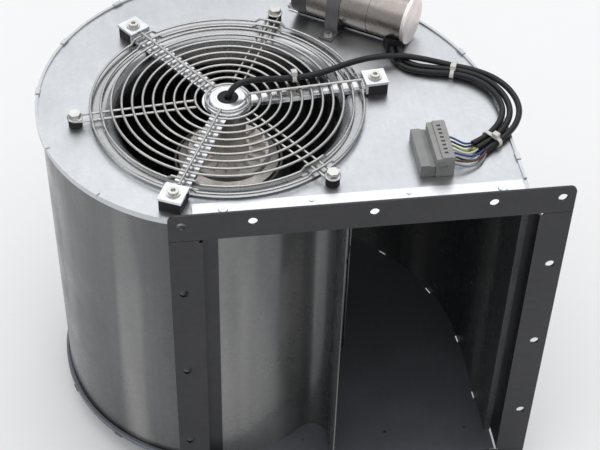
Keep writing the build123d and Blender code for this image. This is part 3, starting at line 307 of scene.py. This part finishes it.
def sheet(name, colour, rough, grain, waves=0.0012, streak=0.2, lit_leg=None, painted_reflection_bands=None, metal=1.0):
    """Galvanised sheet: faint spangle, rolling lines, water stains, handling marks, soft waves.

    The leg colour is painted light: the top leg behind the outlet frame's front face is made lighter than
    the face, which is painted shade. The band colours are painted reflections: a painted shade and a painted
    highlight in broad upright bands.
    """
    shade = Shade(name)
    stains = shade.ramp(shade.noise(9, 5, 0.6), 0.35, 0.7)
    flakes = shade.cells(SPANGLE_SCALE, output="Color")
    flakes = shade.ramp(flakes, 0.0, 1.0, 1 - SPANGLE_TONE, 1 + SPANGLE_TONE)
    streaks = shade.ramp(shade.noise(160, 3, 0.6, grain), 0.35, 0.65)
    tone = shade.blend(stains, scaled(colour, 0.93), scaled(colour, 1.06))
    tone = shade.blend(shade.ramp(streaks, 0, 1, 0, streak), tone, scaled(colour, 0.80))
    # painted reflections: broad upright bands of painted shade, and streaks of painted highlight
    if painted_reflection_bands is not None:
        band_shade, lighter = painted_reflection_bands
        broad = shade.ramp(shade.noise(9, 2, 0.5, (1, 1, 0.22)), 0.36, 0.66)
        tone = shade.blend(broad, shade.blend(1.0, tone, band_shade, "MULTIPLY"), tone)
        painted_highlight = shade.ramp(shade.noise(17, 2, 0.5, (1, 1, 0.08)), 0.52, 0.72, 0, 0.8)
        tone = shade.blend(painted_highlight, tone, lighter)
    # painted light: a lighter colour on the top leg behind the outlet frame's front face
    if lit_leg is not None:
        tone = shade.blend(shade.ramp(shade.axis(1), LEG_START, LEG_END), tone, lit_leg)
    tone = shade.blend(1.0, tone, flakes, "MULTIPLY")
    marks = shade.ramp(shade.noise(34, 6, 0.72), 0.64, 0.76, 0, 0.25)
    tone = shade.blend(marks, tone, scaled(colour, 0.6))
    shade.colour(tone)
    shade.plain(Metallic=metal)
    shade.rough(shade.ramp(shade.noise(22, 4, 0.6), 0.3, 0.7, rough - 0.06, rough + 0.10))
    shade.bump([
        (shade.noise(4.5, 2, 0.4, (1, 1, 0.6)), waves, 1.0),
        (shade.noise(420, 2, 0.5, grain), 0.00004, 0.6),
        (shade.cells(SPANGLE_SCALE), 0.00003, 0.25),
    ])
    return shade.material


def bright_metal(name, colour, rough=0.2, fine=900, scratch=0.00002):
    """Zinc-plated or turned metal: uneven plating, small dull patches and fine scratches."""
    shade = Shade(name)
    patches = shade.ramp(shade.noise(90, 4, 0.6), 0.35, 0.68)
    tone = shade.blend(patches, scaled(colour, 0.88), scaled(colour, 1.05))
    specks = shade.ramp(shade.noise(700, 2, 0.6), 0.66, 0.76, 0, 0.3)
    tone = shade.blend(specks, tone, scaled(colour, 0.45))
    shade.colour(tone)
    shade.plain(Metallic=1.0)
    shade.rough(shade.ramp(shade.noise(160, 3, 0.6), 0.3, 0.7, rough - 0.05, rough + 0.12))
    shade.bump([(shade.noise(fine, 3, 0.6), scratch, 0.5)])
    return shade.material


def moulded(name, colour, rough=0.5, fine=1500, depth=0.00004, gloss=0.5, dust=0.12):
    """Moulded plastic or rubber: fine texture, faint dust and uneven gloss."""
    shade = Shade(name)
    clouds = shade.ramp(shade.noise(60, 4, 0.6), 0.3, 0.7)
    tone = shade.blend(clouds, scaled(colour, 0.88), scaled(colour, 1.12))
    dusty = shade.ramp(shade.noise(260, 5, 0.7), 0.55, 0.75, 0, dust)
    lighter = tuple(part * 0.6 + 0.22 for part in colour)
    tone = shade.blend(dusty, tone, lighter)
    shade.colour(tone)
    shade.rough(shade.ramp(shade.noise(110, 3, 0.6), 0.3, 0.7, rough - 0.08, rough + 0.12))
    shade.plain(Specular_IOR_Level=gloss)
    shade.bump([(shade.noise(fine, 2, 0.5), depth, 0.5)])
    return shade.material


def painted(name, colour, rough=0.4):
    """Sprayed paint with orange peel and rubbed places."""
    shade = Shade(name)
    clouds = shade.ramp(shade.noise(40, 4, 0.6), 0.3, 0.7)
    tone = shade.blend(clouds, scaled(colour, 0.85), scaled(colour, 1.2))
    rubbed = shade.ramp(shade.noise(300, 6, 0.75), 0.68, 0.74, 0, 0.7)
    tone = shade.blend(rubbed, tone, (0.25, 0.25, 0.25))
    shade.colour(tone)
    shade.rough(shade.ramp(shade.noise(120, 3, 0.6), 0.3, 0.7, rough - 0.06, rough + 0.1))
    shade.bump([(shade.noise(900, 2, 0.5), 0.00003, 0.4)])
    return shade.material


def two_colour_wire(name, first, second):
    """Insulation in two colours, in slanting bands across the wire."""
    shade = Shade(name)
    wave = shade.node("ShaderNodeTexWave", wave_type="BANDS", bands_direction="DIAGONAL")
    shade.link(shade.stretched((1, 1, 1)), wave.inputs["Vector"])
    wave.inputs["Scale"].default_value = 60
    band = shade.ramp(wave.outputs["Fac"], 0.48, 0.56)
    clouds = shade.ramp(shade.noise(400, 3, 0.6), 0.3, 0.7, 0.9, 1.1)
    tone = shade.blend(1.0, shade.blend(band, first, second), clouds, "MULTIPLY")
    shade.colour(tone)
    shade.rough(0.38)
    shade.bump([(shade.noise(1500, 2, 0.5), 0.00003, 0.4)])
    return shade.material


def lamination(name, colour):
    """Stack of thin steel sheets."""
    shade = Shade(name)
    layers = shade.noise(900, 2, 0.5, (0.02, 0.02, 1))
    tone = shade.blend(shade.ramp(layers, 0.35, 0.65), scaled(colour, 0.6), scaled(colour, 1.3))
    shade.colour(tone)
    shade.plain(Metallic=1.0)
    shade.rough(shade.ramp(layers, 0.3, 0.7, 0.4, 0.6))
    shade.bump([(layers, 0.0002, 0.8)])
    return shade.material


def windings(name, colour):
    """Varnished copper wire, laid in turns."""
    shade = Shade(name)
    turns = shade.cells(420, stretch=(1, 1, 2.2))
    tone = shade.blend(shade.ramp(turns, 0.1, 0.6), scaled(colour, 1.25), scaled(colour, 0.35))
    shade.colour(tone)
    shade.plain(Metallic=0.9)
    shade.rough(shade.ramp(turns, 0, 1, 0.25, 0.5))
    shade.bump([(turns, 0.0008, 0.7)])
    return shade.material


LIGHT_SHEET = (0.56, 0.575, 0.595)
# painted shade: the wrapper's galvanised sheet is darkened for its upright sides
SHADED_WRAPPER_SHEET = (0.17, 0.172, 0.172)
# painted shade: the outlet frame's galvanised front faces get a dark colour, and painted light gives its top
# leg a light one
SHADED_FRAME_FACE = (0.060, 0.060, 0.062)
LIT_FRAME_LEG = (0.72, 0.73, 0.75)
PLATE_GRAIN = (1, 0.08, 1)
FRAME_GRAIN = (0.1, 1, 1)
FRAME_WAVES = 0.0003
MATERIALS = {
    "galvanised_sheet": sheet("galvanised_sheet", LIGHT_SHEET, 0.34, PLATE_GRAIN),
    "outlet_frame": sheet("outlet_frame", SHADED_FRAME_FACE, 0.34, FRAME_GRAIN, waves=FRAME_WAVES),
    "rivet": bright_metal("rivet", (0.7, 0.71, 0.72), 0.25),
    "inlet_ring": sheet("inlet_ring", (0.40, 0.41, 0.42), 0.24, (1, 1, 0.2), waves=0.0004),
    "wheel": sheet("wheel", (0.20, 0.205, 0.21), 0.36, (1, 1, 0.06), waves=0.0002),
    "zinc_screw": bright_metal("zinc_screw", (0.66, 0.65, 0.62), 0.24),
    "rotor_can": painted("rotor_can", (0.05, 0.048, 0.045), 0.42),
    "lamination": lamination("lamination", (0.2, 0.2, 0.21)),
    "shaft": bright_metal("shaft", (0.66, 0.66, 0.67), 0.18),
    "windings": windings("windings", (0.60, 0.28, 0.13)),
    "motor_flange": bright_metal("motor_flange", (0.66, 0.62, 0.58), 0.5, 500, 0.0001),
    "bearing": bright_metal("bearing", (0.72, 0.73, 0.75), 0.12),
    "bracket": bright_metal("bracket", (0.74, 0.75, 0.77), 0.20),
    "damper": moulded("damper", (0.016, 0.016, 0.017), 0.6, gloss=0.3, dust=0.04),
    "black_rubber": moulded("black_rubber", (0.014, 0.014, 0.015), 0.5, gloss=0.3, dust=0.04),
    "guard_wire": bright_metal("guard_wire", (0.50, 0.49, 0.475), 0.26, 700, 0.00001),
    "capacitor_can": bright_metal("capacitor_can", (0.34, 0.31, 0.285), 0.26, 500),
    "capacitor_end": bright_metal("capacitor_end", (0.92, 0.84, 0.82), 0.5),
    "capacitor_cap": moulded("capacitor_cap", (0.06, 0.058, 0.056), 0.45),
    "strap": painted("strap", (0.10, 0.10, 0.105), 0.34),
    "gland": moulded("gland", (0.012, 0.012, 0.013), 0.45, gloss=0.3, dust=0.03),
    "connector": moulded("connector", (0.27, 0.27, 0.26), 0.5, 1200),
    "header": moulded("header", (0.235, 0.235, 0.23), 0.5, 1200),
    "sheath": moulded("sheath", (0.008, 0.008, 0.009), 0.36, 1800, 0.00003, gloss=0.35, dust=0.02),
    "blue_wire": moulded("blue_wire", (0.02, 0.06, 0.24), 0.36, dust=0.05),
    "black_wire": moulded("black_wire", (0.02, 0.02, 0.02), 0.36, dust=0.05),
    "green_wire": two_colour_wire("green_wire", (0.06, 0.18, 0.05), (0.42, 0.42, 0.07)),
    "white_wire": moulded("white_wire", (0.62, 0.62, 0.58), 0.4, dust=0.05),
    "brown_wire": moulded("brown_wire", (0.10, 0.038, 0.022), 0.38, dust=0.05),
    "grey_wire": moulded("grey_wire", (0.24, 0.25, 0.26), 0.38, dust=0.05),
    "tie": moulded("tie", (0.60, 0.59, 0.54), 0.38, dust=0.05),
}
# the wrapper: a painted shade colour with bands of painted reflection
WRAPPER = sheet(
    "wrapper_sheet", SHADED_WRAPPER_SHEET, 0.27, (1, 1, 0.03), waves=0.012, streak=0.4, metal=0.72,
    painted_reflection_bands=((0.55, 0.56, 0.58), (0.34, 0.335, 0.32)),
)
# painted shade: the bottom side plate is seen only inside the outlet, and its galvanised sheet is coloured
# dark blue-grey for the shade there
SHADED_BOTTOM = sheet("bottom_sheet_painted_shade", (0.17, 0.18, 0.20), 0.5, PLATE_GRAIN, metal=0.65)
# the top bar: front face in painted shade, top leg in painted light
TOP_BAR = sheet("top_bar_sheet", SHADED_FRAME_FACE, 0.34, FRAME_GRAIN, waves=FRAME_WAVES, lit_leg=LIT_FRAME_LEG)

slots = {row["node"]: row["material_slot"] for row in frame["record"]["subparts"]}


def paint(piece, material):
    """Puts one material on every slot of a piece."""
    if not piece.material_slots:
        piece.data.materials.append(material)
    for place in piece.material_slots:
        place.material = material


for name, piece in nodes.items():
    paint(piece, MATERIALS[slots[name]])
paint(nodes["scroll_wrapper"], WRAPPER)
paint(nodes["bottom_side_plate"], SHADED_BOTTOM)
paint(nodes["outlet_frame_top"], TOP_BAR)
for name, piece in cables.items():
    paint(piece, MATERIALS[slots[name]])

# ---------------------------------------------------------------- washers and grommet lip
LATHE_STEPS = 48
LATHE_SHARP = math.radians(35)


def lathe(name, centre, outline, material):
    """Turned piece about +Z at centre, in metres, from a closed loop of (radius, height) in millimetres."""
    verts, faces = [], []
    for step in range(LATHE_STEPS):
        angle = 2 * math.pi * step / LATHE_STEPS
        verts += [(r * MM * math.cos(angle), r * MM * math.sin(angle), h * MM) for r, h in outline]
    count = len(outline)
    for step in range(LATHE_STEPS):
        here, there = step * count, (step + 1) % LATHE_STEPS * count
        for index in range(count):
            after = (index + 1) % count
            faces.append((here + index, there + index, there + after, here + after))
    mesh = bpy.data.meshes.new(name)
    mesh.from_pydata(verts, [], faces)
    for face in mesh.polygons:
        face.use_smooth = True
    mesh.set_sharp_from_angle(angle=LATHE_SHARP)
    piece = bpy.data.objects.new(name, mesh)
    piece.location = centre
    bpy.context.scene.collection.objects.link(piece)
    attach(piece, "housing")
    paint(piece, material)


WASHER = [(3.2, 0.0), (6.9, 0.0), (7.1, 0.15), (7.1, 0.75), (6.7, 1.0), (3.2, 1.0)]
washer_metal = bright_metal("washer_metal", (0.42, 0.41, 0.40), 0.2)
WHEEL_X, WHEEL_Y = -104.0, 167.0
GUARD_SCREW_R = 136.0
GUARD_SCREW_ANGLES = (65, 185, 305)
SCREW_HEAD_H = 5.5
WASHER_GAP = 0.02
eye_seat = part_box("top_guard_screws")[1][2] - SCREW_HEAD_H * MM
for number, angle in enumerate(GUARD_SCREW_ANGLES):
    x = WHEEL_X + GUARD_SCREW_R * math.cos(math.radians(angle))
    y = WHEEL_Y + GUARD_SCREW_R * math.sin(math.radians(angle))
    lathe(
        f"guard_lock_washer_{number}", (x * MM, y * MM, eye_seat + WASHER_GAP * MM), WASHER,
        washer_metal,
    )

# raised lip round the rubber grommet, where the cable leaves the hub
GROMMET_LIP = [
    (3.6, 0.0), (8.2, 0.0), (8.6, 0.5), (8.3, 1.1), (7.4, 1.5), (6.4, 1.3), (5.4, 0.7), (3.8, 0.5),
]
LIP_SINK = 0.1
grommet_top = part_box("cable_grommet")[1][2]
lathe(
    "grommet_lip", (WHEEL_X * MM, WHEEL_Y * MM, grommet_top - LIP_SINK * MM), GROMMET_LIP,
    MATERIALS["black_rubber"],
)

# ---------------------------------------------------------------- floor and light
FLOOR_HALF = 6.0
FLOOR_GAP = 0.0005
floor_mesh = bpy.data.meshes.new("floor")
floor_z = cad_bounds[0][2] - FLOOR_GAP
corners = [(-1, -1), (1, -1), (1, 1), (-1, 1)]
floor_mesh.from_pydata([(x * FLOOR_HALF, y * FLOOR_HALF, floor_z) for x, y in corners], [], [(0, 1, 2, 3)])
floor = bpy.data.objects.new("floor", floor_mesh)
bpy.context.scene.collection.objects.link(floor)
floor_shade = Shade("floor")
floor_shade.colour(floor_shade.blend(floor_shade.noise(3, 3), (0.86, 0.86, 0.86), (0.89, 0.89, 0.89)))
floor_shade.rough(0.9)
floor_mesh.materials.append(floor_shade.material)

STUDIO_COLOUR = (0.95, 0.965, 1.0, 1)
STUDIO_STRENGTH = 0.62
world = bpy.data.worlds.new("studio")
bpy.context.scene.world = world
world.use_nodes = True
background = world.node_tree.nodes["Background"]
background.inputs["Color"].default_value = STUDIO_COLOUR
background.inputs["Strength"].default_value = STUDIO_STRENGTH


def softbox(name, at, target, size, radiance, colour=(1, 1, 1)):
    """Rectangular soft light that faces target; radiance is what a mirror would show."""
    width, height = size
    data = bpy.data.lights.new(name, "AREA")
    data.shape = "RECTANGLE"
    data.size = width
    data.size_y = height
    data.energy = radiance * math.pi * width * height
    data.color = colour
    lamp = bpy.data.objects.new(name, data)
    lamp.location = at
    lamp.rotation_euler = (Vector(target) - Vector(at)).to_track_quat("-Z", "Y").to_euler()
    bpy.context.scene.collection.objects.link(lamp)


softbox("back_key", (0.15, 2.1, 2.2), (-0.05, 0.15, 0.1), (2.8, 1.8), 0.8, (0.98, 0.99, 1.0))
softbox("overhead", (-0.1, 0.2, 2.6), (-0.1, 0.2, 0.0), (3.6, 3.6), 1.05)
softbox("front_fill", (0.25, -1.7, 0.40), (0.05, 0.1, -0.05), (1.1, 0.7), 2.4)
softbox("left_strip", (-2.2, 0.1, 0.9), (-0.1, 0.15, 0.0), (0.5, 1.4), 1.6)

bpy.context.scene.view_settings.view_transform = "Standard"
